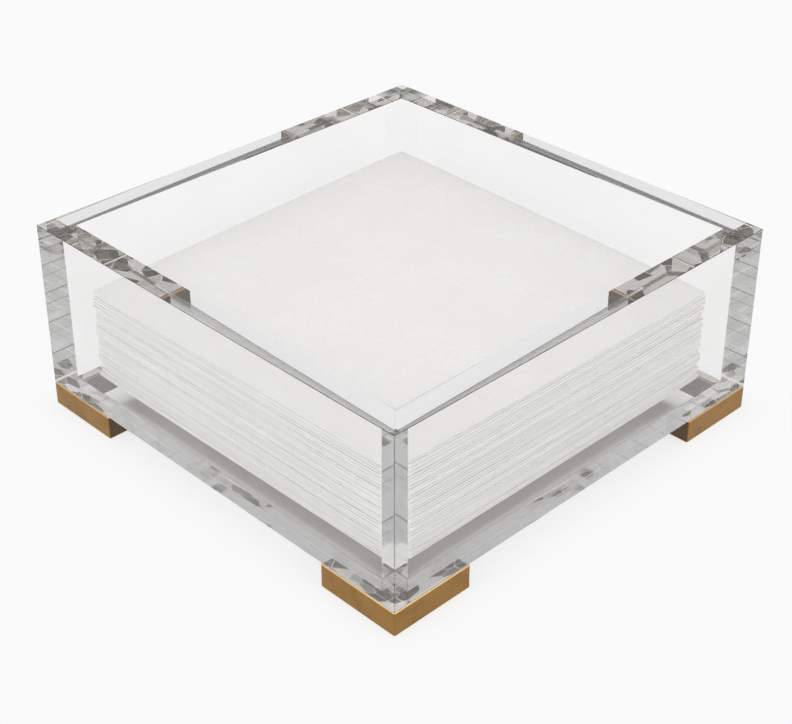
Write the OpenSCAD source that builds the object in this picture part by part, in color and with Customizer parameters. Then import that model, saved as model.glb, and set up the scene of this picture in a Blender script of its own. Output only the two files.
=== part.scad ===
// Square tray of clear acrylic that holds a pile of folded paper napkins.
// It stands on four L-shaped metal feet, one under each corner.
// Origin: middle of the tray at the surface it stands on. +Z is up.
// The front of the tray faces -Y and its right side faces +X.

/* [Napkins] */
// Side of one folded luncheon napkin
napkin_side = 165; // [100:1:200]
// Thickness of one folded napkin as it lies in the pile
napkin_t = 2.2; // [1.2:0.05:2.8]
// Gap between the two halves of a napkin at its open edges
napkin_slit = 0.15; // [0.05:0.05:0.4]
// How far a napkin may lie off its place in the pile
napkin_drift = 0.4; // [0:0.1:1.5]
// How far a napkin may lie turned in the pile, in degrees
napkin_turn = 0.25; // [0:0.05:0.5]

/* [Tray] */
// Room between each wall and a pile of napkins in the middle of the tray
napkin_room = 6; // [4:0.5:12]
// How far the pile lies from the middle of the tray towards the back and the left
pile_shift = 1.2; // [0:0.1:1.5]
// Thickness of the clear walls
wall_t = 11; // [6:0.5:14]
// Height of the walls, from their undersides to the rim
wall_h = 72; // [56:1:100]
// Thickness of the clear base, which is set between the walls
base_t = 5.5; // [3:0.5:10]
// Polished bevel on the outer edges and on the rim
edge_bevel = 0.3; // [0.2:0.1:1.2]

/* [Feet] */
// Length of each leg of an L-shaped foot, along the tray's side
foot_leg = 37; // [26:1:48]
// Width of each leg of a foot
foot_width = 12.5; // [10:0.5:18]
// Height of the metal of a foot
foot_h = 10.3; // [6:0.1:16]
// Bevel on the edges of a foot
foot_bevel = 0.5; // [0.2:0.1:1]
// Thickness of the clear adhesive film between a foot and the tray
film_t = 0.2; // [0.1:0.05:0.5]
// Distance from the outline of a foot to its adhesive film
film_inset = 1; // [0.6:0.1:2]

/* [Pads] */
// Thickness of the rubber pad under a foot
pad_t = 1; // [0.6:0.1:2]
// Depth of the recess that the pad is stuck in
pad_recess = 0.5; // [0.2:0.1:0.5]
// Distance from the outline of a foot to the recess for its pad
pad_inset = 1.8; // [1.2:0.1:3]
// Gap all round between a pad and the side of its recess
pad_play = 0.1; // [0.05:0.05:0.3]

/* [Hidden] */
// Angle between the drifts of one napkin and the next, so that no two lie alike
drift_step = 137.5;
// Angle between the turns of one napkin and the next
turn_step = 101;
// Overrun of every cut past the face that it opens
over = 1;

// Clear inside and outer width of the square tray
inner_w = napkin_side + 2 * napkin_room;
outer_w = inner_w + 2 * wall_t;
half_w = outer_w / 2;
half_inner = inner_w / 2;

// Heights of the levels, from the surface that the tray stands on
foot_z = pad_t - pad_recess;
film_z = foot_z + foot_h;
tray_z = film_z + film_t;
floor_z = tray_z + base_t;

// A napkin is folded twice, so it is two leaves that one broad fold joins
leaf_t = (napkin_t - napkin_slit) / 2;
half_side = napkin_side / 2;

// Corners of the tray, as signs of X and Y
CORNERS = [
    ["front_left", -1, -1],
    ["front_right", 1, -1],
    ["back_left", -1, 1],
    ["back_right", 1, 1]
];
napkin_count = 20;
function napkin_name(i) = str("napkin_", i < 10 ? "0" : "", i);
$fn = 48;

// Rectangle with cut corners, centred on X, from y = 0 to y = h.
// The cuts at the bottom and at the top are given apart.
module cut_rectangle(w, h, low, high) {
    polygon([
        [-w / 2 + low, 0], [w / 2 - low, 0],
        [w / 2, low], [w / 2, h - high],
        [w / 2 - high, h], [-w / 2 + high, h],
        [-w / 2, h - high], [-w / 2, low]
    ]);
}

// Extrusion of a drawn elevation along Y, centred on the XZ plane
module along_y(l) {
    translate([0, l / 2, 0])
        rotate([90, 0, 0])
            linear_extrude(l) children();
}

// Extrusion of the same elevation along X, centred on the YZ plane
module along_x(l) {
    rotate([0, 0, 90]) along_y(l) children();
}

// Block of w by d by h on the XY plane with bevelled edges:
// the four upright ones by side, those below by low and those on top by high
module bevelled_block(w, d, h, side, low, high) {
    intersection() {
        translate([0, -d / 2, 0]) linear_extrude(h) cut_rectangle(w, d, side, side);
        along_y(d) cut_rectangle(w, h, low, high);
        along_x(w) cut_rectangle(d, h, low, high);
    }
}

// Well of the tray, open at the top, where it widens by the bevel of the rim
module well() {
    translate([-half_inner, -half_inner, -over]) cube([inner_w, inner_w, wall_h + 2 * over]);
    intersection() {
        along_y(outer_w) well_mouth();
        along_x(outer_w) well_mouth();
    }
}

// Elevation of the bevel round the mouth of the well
module well_mouth() {
    low = half_inner;
    high = half_inner + edge_bevel + over;
    polygon([
        [-low, wall_h - edge_bevel], [low, wall_h - edge_bevel],
        [high, wall_h + over], [-high, wall_h + over]
    ]);
}

// All four walls in one ring, standing on the XY plane. Each wall is a part of it,
// so the bevels of the rim and of the upright corners meet without a step.
module wall_ring() {
    difference() {
        bevelled_block(outer_w, outer_w, wall_h, edge_bevel, edge_bevel, edge_bevel);
        well();
    }
}

// Upright wedge between the two diagonals of the tray, open towards the front
module front_wedge() {
    reach = half_w + over;
    linear_extrude(wall_h) polygon([[0, 0], [-reach, -reach], [reach, -reach]]);
}

// Front wall, or the wall that it becomes when it is turned about Z.
// The wedge gives it mitred ends, which meet the two walls beside it.
module wall(turn) {
    color([0.93, 0.95, 0.96, 0.35])
        translate([0, 0, tray_z])
            intersection() {
                wall_ring();
                rotate([0, 0, turn]) front_wedge();
            }
}

// Base, set between the walls and level with their undersides
module base_panel() {
    color([0.93, 0.95, 0.96, 0.35])
        translate([-half_inner, -half_inner, tray_z])
            cube([inner_w, inner_w, base_t]);
}

// Places what is drawn for the front left corner at the corner c.
// There the tray's corner is at the origin, and the legs run along +X and +Y.
module at_corner(c) {
    mirror([c[1] > 0 ? 1 : 0, 0, 0])
        mirror([0, c[2] > 0 ? 1 : 0, 0])
            translate([-half_w, -half_w, 0])
                children();
}

// Flat L with legs of length l and width w, as thick as h, from its outer corner
module ell(l, w, h) {
    linear_extrude(h)
        polygon([[0, 0], [l, 0], [l, w], [w, w], [w, l], [0, l]]);
}

// The same L drawn in by a margin from the outline of a foot
module inner_ell(margin, h) {
    translate([margin, margin, 0])
        ell(foot_leg - 2 * margin, foot_width - 2 * margin, h);
}

// One leg of a foot, a bar along X with all its edges bevelled
module foot_bar() {
    translate([foot_leg / 2, foot_width / 2, 0])
        bevelled_block(foot_leg, foot_width, foot_h, foot_bevel, foot_bevel, foot_bevel);
}

// L-shaped foot: two bars that share the corner, with a recess below for the pad
module foot(c) {
    color([0.72, 0.52, 0.27])
        at_corner(c)
            translate([0, 0, foot_z])
                difference() {
                    union() {
                        foot_bar();
                        mirror([1, -1, 0]) foot_bar();
                    }
                    translate([0, 0, -over]) inner_ell(pad_inset, over + pad_recess);
                }
}

// Clear adhesive film between the top of a foot and the undersides of walls and base
module adhesive_film(c) {
    color([0.9, 0.9, 0.88, 0.5])
        at_corner(c)
            translate([0, 0, film_z])
                inner_ell(film_inset, film_t);
}

// Rubber pad in the recess of a foot. The tray stands on these pads.
module foot_pad(c) {
    color([0.2, 0.2, 0.21])
        at_corner(c)
            inner_ell(pad_inset + pad_play, pad_t);
}

// Elevation of a leaf: a bar with round ends, from z = 0 to leaf_t
module leaf_shape() {
    round_r = leaf_t / 2;
    translate([-half_side + round_r, 0]) square([napkin_side - 2 * round_r, leaf_t]);
    for (end = [-1, 1])
        translate([end * (half_side - round_r), round_r]) circle(round_r);
}

// Elevation of a napkin across its broad fold, drawn at -X, which wraps both leaves
module broad_fold_shape() {
    fold_r = napkin_t / 2;
    slit_r = napkin_slit / 2;
    difference() {
        union() {
            translate([-half_side + fold_r, 0]) square([napkin_t, napkin_t]);
            translate([-half_side + fold_r, fold_r]) circle(fold_r);
            translate([fold_r / 2, 0]) both_leaves() cut_leaf(fold_r);
        }
        translate([-half_side + napkin_t, fold_r - slit_r]) square([napkin_side, napkin_slit]);
        translate([-half_side + napkin_t, fold_r]) circle(slit_r);
    }
}

// A leaf shortened by the radius of the broad fold, so that it starts inside the fold
module cut_leaf(fold_r) {
    round_r = leaf_t / 2;
    low = -half_side + fold_r / 2;
    high = half_side - fold_r / 2 - round_r;
    translate([low, 0]) square([high - low, leaf_t]);
    translate([high, round_r]) circle(round_r);
}

// Puts one copy of a leaf at the bottom of the napkin and one at its top
module both_leaves() {
    children();
    translate([0, leaf_t + napkin_slit]) children();
}

// Elevation of a napkin along its broad fold, with the narrow folds drawn at -Y
module narrow_fold_shape() {
    both_leaves() leaf_shape();
    translate([-half_side + leaf_t / 2, leaf_t / 2])
        square([napkin_side - leaf_t, leaf_t + napkin_slit]);
}

// Napkin i of the pile, counted from the bottom. All lie the same way round, with the
// broad fold at the back and the narrow ones on the left, and the open edges in front
// and on the right. Each lies a little off its place and a little askew.
module napkin(i) {
    color([0.93, 0.925, 0.915])
        translate([
            -pile_shift + napkin_drift * sin(i * drift_step),
            pile_shift + napkin_drift * cos(i * drift_step),
            floor_z + (i - 1) * napkin_t
        ])
            rotate([0, 0, napkin_turn * sin(i * turn_step) - 90])
                intersection() {
                    along_y(napkin_side) broad_fold_shape();
                    along_x(napkin_side) narrow_fold_shape();
                }
}

base_panel();
wall(0);  // wall_front
wall(180);  // wall_back
wall(-90);  // wall_left
wall(90);  // wall_right
for (c = CORNERS) {
    foot(c);
    adhesive_film(c);
    foot_pad(c);
}
for (i = [1:napkin_count])
    napkin(i);
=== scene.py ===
"""Looks of a napkin holder: a clear acrylic tray on brass corner feet, with its pile of napkins.

All sizes are in metres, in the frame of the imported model. The origin is the middle of the tray
at the surface it stands on, +Z is up, the front of the tray faces -Y and its right side +X.
"""

import logging
import math
from dataclasses import dataclass, field
from enum import Enum, IntEnum
from typing import Any

import bpy
import numpy as np
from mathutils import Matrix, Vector


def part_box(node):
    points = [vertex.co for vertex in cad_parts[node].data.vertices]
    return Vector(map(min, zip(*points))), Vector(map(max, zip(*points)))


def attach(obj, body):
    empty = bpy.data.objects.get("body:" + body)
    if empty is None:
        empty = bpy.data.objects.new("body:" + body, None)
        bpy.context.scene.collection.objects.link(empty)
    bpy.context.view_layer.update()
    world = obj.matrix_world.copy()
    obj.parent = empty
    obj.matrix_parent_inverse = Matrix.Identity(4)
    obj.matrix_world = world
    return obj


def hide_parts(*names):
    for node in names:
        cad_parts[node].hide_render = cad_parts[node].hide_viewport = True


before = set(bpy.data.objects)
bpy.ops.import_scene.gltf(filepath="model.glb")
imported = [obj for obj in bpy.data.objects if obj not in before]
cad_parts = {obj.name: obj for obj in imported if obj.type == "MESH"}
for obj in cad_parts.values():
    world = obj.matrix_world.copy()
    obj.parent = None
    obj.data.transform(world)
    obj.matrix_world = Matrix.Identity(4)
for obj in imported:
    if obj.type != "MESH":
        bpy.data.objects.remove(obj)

LOG = logging.getLogger("napkin_holder")
MM = 0.001
Array = np.ndarray
Colour = tuple[float, float, float]
Pair = tuple[float, float]
Triple = tuple[float, float, float]
Material = bpy.types.Material
Node = bpy.types.Node
Socket = bpy.types.NodeSocket
Values = dict[str | int, Any]

# Light passes many polished faces before it leaves the tray, and is mirrored in many more.
CLEAR_BOUNCES = 48
GLOSS_BOUNCES = 32

# Most of a noise lies in the first span. The second one takes a number as it is.
NOISE_SPAN: Pair = (0.3, 0.7)
WHOLE: Pair = (0.0, 1.0)


class Corner(Enum):
    """The four corners of the tray, as the signs of X and Y."""

    FRONT_LEFT = (-1, -1)
    FRONT_RIGHT = (1, -1)
    BACK_LEFT = (-1, 1)
    BACK_RIGHT = (1, 1)

    @property
    def word(self) -> str:
        """Name of the corner as the node names spell it."""
        return self.name.lower()


class Body(Enum):
    """The bodies that the pieces ride on."""

    TRAY = "tray"
    PILE = "napkin_pile"
    TOP = "top_napkin"


class Seed(IntEnum):
    """Starts of the random picks, so that every run gives the same pile.

    The two frays take four starts each, one for each layer of a napkin.
    """

    SWELL = 71
    RUFFLE = 72
    PLACE = 500
    CORNER = 800
    FRAY_ACROSS = 10
    FRAY_ALONG = 20
    BROAD_FOLD = 31
    NARROW_FOLD = 32


# Meshes


@dataclass
class Surface:
    """Points and faces of a closed mesh, as whole arrays.

    Attributes:
        points: One row for each point.
        faces: Arrays of faces, one row for each face, each array with its own number of sides.
        shades: One number for each point, kept in the mesh as its attribute "shade".
    """

    points: Array
    faces: list[Array]
    shades: Array | None = None

    def mirrored(self, signs: tuple[int, int]) -> "Surface":
        """Mirrors the surface in X and Y by the signs and keeps its faces pointing outwards.

        Args:
            signs: The sign of X and the sign of Y, 1 or -1.

        Returns:
            The mirrored surface.
        """
        points = self.points * np.array([signs[0], signs[1], 1.0])
        turned = signs[0] * signs[1] < 0
        faces = [rows[:, ::-1] if turned else rows for rows in self.faces]
        return Surface(points, faces, self.shades)

    def turned(self, quarters: int) -> "Surface":
        """Turns the surface about Z by whole quarters, counterclockwise.

        Args:
            quarters: Number of quarter turns.

        Returns:
            The turned surface.
        """
        x, y, z = self.points.T
        x, y = [(x, y), (-y, x), (-x, -y), (y, -x)][quarters % 4]
        return Surface(np.stack([x, y, z], axis=1), self.faces, self.shades)

    def piece(
        self, name: str, finish: Material, crease: float | None = None
    ) -> bpy.types.Object:
        """Puts the surface into the mesh of a new object that sits at the origin.

        Args:
            name: Name of the object and its mesh.
            finish: Material of the whole piece.
            crease: Angle in degrees past which an edge stays sharp, or None for flat faces.

        Returns:
            The new object, linked to the scene.
        """
        sides = np.concatenate([np.full(len(rows), rows.shape[1]) for rows in self.faces])
        loops = np.concatenate([rows.ravel() for rows in self.faces])
        mesh = bpy.data.meshes.new(name)
        mesh.vertices.add(len(self.points))
        mesh.vertices.foreach_set("co", np.ascontiguousarray(self.points, dtype=np.float32).ravel())
        mesh.loops.add(len(loops))
        mesh.loops.foreach_set("vertex_index", loops.astype(np.int32))
        mesh.polygons.add(len(sides))
        starts = np.concatenate([[0], np.cumsum(sides)[:-1]])
        mesh.polygons.foreach_set("loop_start", starts.astype(np.int32))
        mesh.polygons.foreach_set("use_smooth", np.full(len(sides), crease is not None))
        if self.shades is not None:
            layer = mesh.attributes.new("shade", "FLOAT", "POINT")
            layer.data.foreach_set("value", self.shades.astype(np.float32))
        mesh.update(calc_edges=True)
        mesh.validate()
        if crease is not None:
            mesh.set_sharp_from_angle(angle=math.radians(crease))
        mesh.materials.append(finish)
        made = bpy.data.objects.new(name, mesh)
        bpy.context.scene.collection.objects.link(made)
        return made


def grid_quads(rows: int, columns: int, closed: bool) -> Array:
    """Joins the points of a grid, row after row, into quads.

    The quad at (r, c) joins (r, c), (r, c + 1), (r + 1, c + 1) and (r + 1, c). On a closed grid
    the last column is joined to the first.

    Args:
        rows: Number of rows of points.
        columns: Number of points in each row.
        closed: True if each row is a ring.

    Returns:
        One row of four point numbers for each quad.
    """
    wide = columns if closed else columns - 1
    r, c = np.meshgrid(np.arange(rows - 1), np.arange(wide), indexing="ij")
    right = (c + 1) % columns
    near, far = r * columns, (r + 1) * columns
    quads = np.stack([near + c, near + right, far + right, far + c])
    return quads.reshape(4, -1).T


@dataclass(frozen=True)
class Slab:
    """Flat panel with a bevel on each of its twelve edges.

    Attributes:
        low: Lowest corner.
        high: Highest corner.
        cut: Width of the bevels.
    """

    low: Array
    high: Array
    cut: float

    def surface(self) -> Surface:
        """Works out the bevelled panel as six drawn-in faces, twelve bevels and eight corners.

        Each of the six faces is the rectangle of its side, drawn in along both of its own axes by
        the bevel's width, for its corners (u, v) = (0, 0) to (1, 1). The corners that two faces
        have at an edge are joined by a bevel, and those of three faces by a triangle.

        Returns:
            The closed surface.
        """
        f, s, u, v = np.meshgrid(*[np.arange(n) for n in (3, 2, 2, 2)], indexing="ij")
        a, b = (f + 1) % 3, (f + 2) % 3
        ends = np.stack([self.low, self.high])
        points = np.zeros((3, 2, 2, 2, 3))
        cell = (f, s, u, v)
        points[cell + (f,)] = ends[s, f]
        points[cell + (a,)] = ends[u, a] + (1 - 2 * u) * self.cut
        points[cell + (b,)] = ends[v, b] + (1 - 2 * v) * self.cut

        def number(face: Array, side: Array, first: Array, second: Array) -> Array:
            """Number of the point that a face has at one of its corners."""
            return ((face * 2 + side) * 2 + first) * 2 + second

        def outwards(rows: Array, turned: Array) -> Array:
            """Reverses the rows that are marked as turned."""
            return np.where(turned[:, None], rows[:, ::-1], rows)

        f, s = (m.ravel() for m in np.meshgrid(np.arange(3), np.arange(2), indexing="ij"))
        sides = np.stack([number(f, s, *uv) for uv in ((0, 0), (1, 0), (1, 1), (0, 1))], axis=1)
        c, p, q = (m.ravel() for m in np.meshgrid(np.arange(3), [0, 1], [0, 1], indexing="ij"))
        a, b = (c + 1) % 3, (c + 2) % 3
        bevels = np.stack(
            [number(a, p, q, 0), number(a, p, q, 1), number(b, q, 1, p), number(b, q, 0, p)], axis=1
        )
        x, y, z = (m.ravel() for m in np.meshgrid([0, 1], [0, 1], [0, 1], indexing="ij"))
        tips = np.stack([number(0, x, y, z), number(1, y, z, x), number(2, z, x, y)], axis=1)
        faces = [
            outwards(sides, s == 0),
            outwards(bevels, p == q),
            outwards(tips, (x + y + z) % 2 == 0),
        ]
        return Surface(points.reshape(-1, 3), faces)


@dataclass(frozen=True)
class Ell:
    """L-shaped outline with its outer corner at the tray's corner and its legs along +X and +Y.

    Attributes:
        leg: Length of each leg.
        width: Width of each leg.
        steps: Number of points round each corner.
        sawn: Half corners, counted along the outline from the tray's corner, between which the
        leg ends and the inner sides lie, which get a painted shade. The first one belongs to them.
    """

    leg: float
    width: float
    steps: int = 6
    sawn: tuple[int, int] = (3, 11)

    def rings(self, insets: Array, radii: Array, heights: Array) -> Array:
        """Carries the outline through rings, each with its inset, corner radius and height.

        At a ring with inset d and radius r, the point at the angle t round a corner V is
        V - (d + k r) m + k r n(t), where m is the sum of the outward normals of the two sides,
        n(t) turns from the one normal to the other, and k is 1 at an outer corner and -1 at the
        inner one.

        Args:
            insets: Distance of each ring from the outline.
            radii: Radius of each ring's corners.
            heights: Height of each ring.

        Returns:
            Points by ring and by place along the outline.
        """
        a, b = self.leg, self.width
        tips = np.array([[0, 0], [a, 0], [a, b], [b, b], [b, a], [0, a]], dtype=float)
        along = np.roll(tips, -1, axis=0) - tips
        along /= np.linalg.norm(along, axis=1, keepdims=True)
        after = np.stack([along[:, 1], -along[:, 0]], axis=1)
        before = np.roll(after, 1, axis=0)
        bend = np.sign(before[:, 0] * after[:, 1] - before[:, 1] * after[:, 0])
        start = np.arctan2(before[:, 1], before[:, 0])
        turn = start[:, None] + bend[:, None] * np.linspace(0, math.pi / 2, self.steps)[None, :]
        normal = np.stack([np.cos(turn), np.sin(turn)], axis=-1)
        d, r = insets[:, None, None, None], radii[:, None, None, None]
        k = bend[None, :, None, None]
        centre = tips[None, :, None, :] - (d + k * r) * (before + after)[None, :, None, :]
        flat = (centre + k * r * normal[None]).reshape(len(insets), -1, 2)
        height = np.broadcast_to(heights[:, None, None], flat.shape[:2] + (1,))
        return np.concatenate([flat, height], axis=2)

    def solid(
        self,
        insets: list[float],
        radii: list[float],
        heights: list[float],
        shades: list[float] | None = None,
    ) -> Surface:
        """Closed solid between rings that go from the middle of the underside up to the top.

        Where a ring's shade is 0, the points from the middle of the first outer end corner round
        the inner side to the last one get -1, which marks the leg ends and the inner sides for a
        painted shade.

        Args:
            insets: Distance of each ring from the outline.
            radii: Radius of each ring's corners.
            heights: Height of each ring.
            shades: Number kept on the points of each ring, or None for 0 on all of them.

        Returns:
            The closed surface, in the quarter where X and Y grow from the tray's corner.
        """
        rings = self.rings(*(np.array(row, dtype=float) for row in (insets, radii, heights)))
        count, around = rings.shape[:2]
        last = (count - 1) * around
        faces = [
            grid_quads(count, around, closed=True),
            np.arange(around)[None, ::-1],
            last + np.arange(around)[None, :],
        ]
        shade = np.array(shades or [0.0] * count, dtype=float)
        shade = np.repeat(shade[:, None], around, axis=1)
        half_corner = np.arange(around)[None, :] // (self.steps // 2)
        # Leg ends and inner sides, which the brass darkens as a painted shade.
        sawn = (half_corner >= self.sawn[0]) & (half_corner < self.sawn[1])
        marked = np.where((shade == 0) & sawn, -1.0, shade)
        return Surface(rings.reshape(-1, 3), faces, marked.ravel())


# Finishes


class Graph:
    """Node tree of a material or of the world while it is built.

    Attributes:
        share: Height of each finer layer of a noise, as a share of the layer before.
        tree: The node tree.
    """

    share = 0.55

    def __init__(self, owner: Material | bpy.types.World) -> None:
        """Empties the node tree of the owner and gets ready to fill it.

        Args:
            owner: Material or world that the tree belongs to.
        """
        owner.use_nodes = True
        self.tree = owner.node_tree
        self.tree.nodes.clear()

    def add(self, kind: str, values: Values | None = None, **settings: Any) -> Node:
        """Adds a node, with its settings and with its inputs set or linked.

        Args:
            kind: Type of the node.
            values: Inputs by name or number. A socket is linked and anything else is set.
            **settings: Attributes of the node.

        Returns:
            The new node.
        """
        node = self.tree.nodes.new(kind)
        for key, value in settings.items():
            setattr(node, key, value)
        for key, value in (values or {}).items():
            if isinstance(value, Socket):
                self.tree.links.new(value, node.inputs[key])
            elif isinstance(value, tuple) and len(value) == 3 and node.inputs[key].type == "RGBA":
                node.inputs[key].default_value = (*value, 1.0)
            else:
                node.inputs[key].default_value = value
        return node

    def place(self) -> Socket:
        """Object coordinates, in metres."""
        return self.add("ShaderNodeTexCoord").outputs["Object"]

    def noise(
        self, place: Socket, scale: float, detail: float, stretch: Triple = (1, 1, 1)
    ) -> Socket:
        """Noise at a scale in cells a metre, with its place stretched by three factors.

        Args:
            place: Coordinates that the noise is laid on.
            scale: Cells a metre.
            detail: Number of finer layers.
            stretch: Factors on the coordinates.

        Returns:
            The noise's output, from 0 to 1.
        """
        values = {"Vector": place, "Scale": stretch}
        mapped = self.add("ShaderNodeMapping", values).outputs["Vector"]
        values = {"Vector": mapped, "Scale": scale, "Detail": detail, "Roughness": self.share}
        return self.add("ShaderNodeTexNoise", values).outputs["Fac"]

    def blend(
        self, factor: Socket, low: Colour, high: Colour, span: Pair = NOISE_SPAN
    ) -> Socket:
        """Colour that goes from one to the other as the factor crosses a span.

        Args:
            factor: Number that drives the colour.
            low: Colour below the span.
            high: Colour above the span.
            span: Where the change starts and ends.

        Returns:
            The colour's output.
        """
        ramp = self.add("ShaderNodeValToRGB", {"Fac": factor})
        first, second = ramp.color_ramp.elements
        first.position, second.position = span
        first.color, second.color = (*low, 1.0), (*high, 1.0)
        return ramp.outputs["Color"]

    def mix(self, factor: Socket, low: Socket, high: Socket | Colour) -> Socket:
        """Colour that is the low one where the factor is 0 and the high one where it is 1."""
        values = {0: factor, 6: low, 7: high}
        return self.add("ShaderNodeMix", values, data_type="RGBA").outputs[2]

    def math(self, operation: str, first: Socket, second: Socket) -> Socket:
        """Number that an operation makes of two others."""
        return self.add("ShaderNodeMath", {0: first, 1: second}, operation=operation).outputs[0]

    def span(self, factor: Socket, ends: Pair, over: Pair = WHOLE) -> Socket:
        """Number that goes from the one end to the other as the factor crosses a span.

        Args:
            factor: Number that drives it.
            ends: Results at the start and at the end of the span.
            over: Start and end of the span.

        Returns:
            The number's output.
        """
        values = {"Value": factor, "From Min": over[0], "From Max": over[1]}
        values |= {"To Min": ends[0], "To Max": ends[1]}
        return self.add("ShaderNodeMapRange", values).outputs["Result"]

    def steps(self, factor: Socket, stops: tuple[Pair, ...]) -> Socket:
        """Grey level that goes from stop to stop as the factor grows.

        Args:
            factor: Number that drives the level.
            stops: Factor and level of each stop, in their order.

        Returns:
            The level's output, from 0 to 1.
        """
        first, last = stops[0][0], stops[-1][0]
        share = self.span(factor, WHOLE, (first, last))
        ramp = self.add("ShaderNodeValToRGB", {"Fac": share})
        marks = ramp.color_ramp.elements
        for place, _ in stops[1:-1]:
            marks.new((place - first) / (last - first))
        for mark, (_, level) in zip(marks, stops):
            mark.color = (level, level, level, 1.0)
        return ramp.outputs["Color"]

    def bump(self, height: Socket, depth: float, below: Socket | None = None) -> Socket:
        """Relief that follows a number.

        Args:
            height: Number that drives it, from 0 in its hollows to 1 on its tops.
            depth: Depth of the relief in metres.
            below: Relief that it is laid over, or None.

        Returns:
            The normal's output.
        """
        values: Values = {"Height": height, "Distance": depth, "Strength": 1.0}
        if below is not None:
            values["Normal"] = below
        return self.add("ShaderNodeBump", values).outputs["Normal"]

    def principled(self, values: Values) -> None:
        """Adds a principled shader and links it to the material's output."""
        shader = self.add("ShaderNodeBsdfPrincipled", values)
        self.add("ShaderNodeOutputMaterial", {"Surface": shader.outputs["BSDF"]})


@dataclass(frozen=True)
class Finish:
    """What all finishes have: a name and the material that carries it."""

    name: str

    def material(self) -> Material:
        """Builds the material.

        Returns:
            The new material, by the name of the finish.
        """
        made = bpy.data.materials.new(self.name)
        self.fill(Graph(made))
        return made

    def fill(self, graph: Graph) -> None:
        """Fills the node tree of the material. Each finish has its own."""
        raise NotImplementedError


@dataclass(frozen=True)
class ClearAcrylic(Finish):
    """Cast acrylic with polished faces: clear, a trace uneven, and lamps shine through it.

    Attributes:
        clear: Colour where the sheet is clearest.
        dull: Colour where it is a trace duller.
        clouds: Cells a metre of the noise between the two.
        ior: Index of refraction.
        depth: Light that the sheet takes, for each metre of its way.
        shadow: Share of lamp light that passes.
    """

    clear: Colour = (0.972, 0.971, 0.969)
    dull: Colour = (0.953, 0.951, 0.948)
    clouds: float = 22.0
    ior: float = 1.49
    depth: float = 1.0
    shadow: Colour = (0.93, 0.93, 0.93)

    def fill(self, graph: Graph) -> None:
        """Glass shader with faint clouds in it, which shadow rays pass straight through.

        Inside, a volume of half grey takes half its density, so the density is twice the depth.

        Args:
            graph: Node tree of the material.
        """
        cloud = graph.noise(graph.place(), self.clouds, detail=2.0)
        values = {
            "Base Color": graph.blend(cloud, self.clear, self.dull),
            "Roughness": 0.0,
            "IOR": self.ior,
            "Transmission Weight": 1.0,
        }
        glass = graph.add("ShaderNodeBsdfPrincipled", values).outputs["BSDF"]
        passing = graph.add("ShaderNodeBsdfTransparent", {"Color": self.shadow}).outputs["BSDF"]
        rays = graph.add("ShaderNodeLightPath")
        shares = {0: rays.outputs["Is Shadow Ray"], 1: glass, 2: passing}
        both = graph.add("ShaderNodeMixShader", shares).outputs["Shader"]
        grey = {"Color": (0.5, 0.5, 0.5), "Density": 2 * self.depth}
        inside = graph.add("ShaderNodeVolumeAbsorption", grey).outputs["Volume"]
        graph.add("ShaderNodeOutputMaterial", {"Surface": both, "Volume": inside})


@dataclass(frozen=True)
class SatinBrass(Finish):
    """Brushed and lacquered brass with fine level lines and lighter bevels.

    Attributes:
        deep: Colour of the darker parts.
        warm: Colour of the lighter parts.
        edge: Colour of the bevels, a painted highlight.
        sawn: Colour of the leg ends and the inner sides, a painted shade where they face the dark
        under the tray.
        clouds: Cells a metre of the clouds in the colour.
        brush: Cells a metre along the brushed lines.
        fine: How many times closer the lines lie to each other.
        tones: Span of clouds and lines together over which deep passes into warm.
        gloss: Roughness from line to line.
        relief: Depths of the lines and of the clouds.
    """

    deep: Colour = (0.235, 0.121, 0.028)
    warm: Colour = (0.320, 0.170, 0.047)
    # Painted highlight on the bevels.
    edge: Colour = (0.72, 0.50, 0.26)
    # Painted shade on the leg ends and inner sides.
    sawn: Colour = (0.105, 0.075, 0.048)
    clouds: float = 90.0
    brush: float = 60.0
    fine: float = 60.0
    tones: Pair = (0.75, 1.25)
    gloss: Pair = (0.24, 0.40)
    relief: Pair = (0.004 * MM, 0.010 * MM)

    def fill(self, graph: Graph) -> None:
        """Metal whose colour, gloss and relief follow brushed lines that run level.

        The attribute "shade" of the foot is 1 on its bevels, which get a painted highlight, and -1
        on its leg ends and inner sides, which get a painted shade.

        Args:
            graph: Node tree of the material.
        """
        place = graph.place()
        cloud = graph.noise(place, self.clouds, detail=3.0)
        lines = graph.noise(place, self.brush, detail=4.0, stretch=(1.0, 1.0, self.fine))
        both = graph.math("ADD", cloud, lines)
        colour = graph.blend(both, self.deep, self.warm, self.tones)
        shade = graph.add("ShaderNodeAttribute", attribute_name="shade").outputs["Fac"]
        # Painted shade: where the shade attribute is -1 the colour goes dark.
        plain = graph.mix(graph.span(shade, WHOLE, (0.0, -1.0)), colour, self.sawn)
        # Painted highlight: where the shade attribute is 1 the colour goes light.
        graph.principled(
            {
                "Base Color": graph.mix(shade, plain, self.edge),
                "Metallic": 1.0,
                "Roughness": graph.span(lines, self.gloss, NOISE_SPAN),
                "Normal": graph.bump(lines, self.relief[0], graph.bump(cloud, self.relief[1])),
            }
        )


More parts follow.
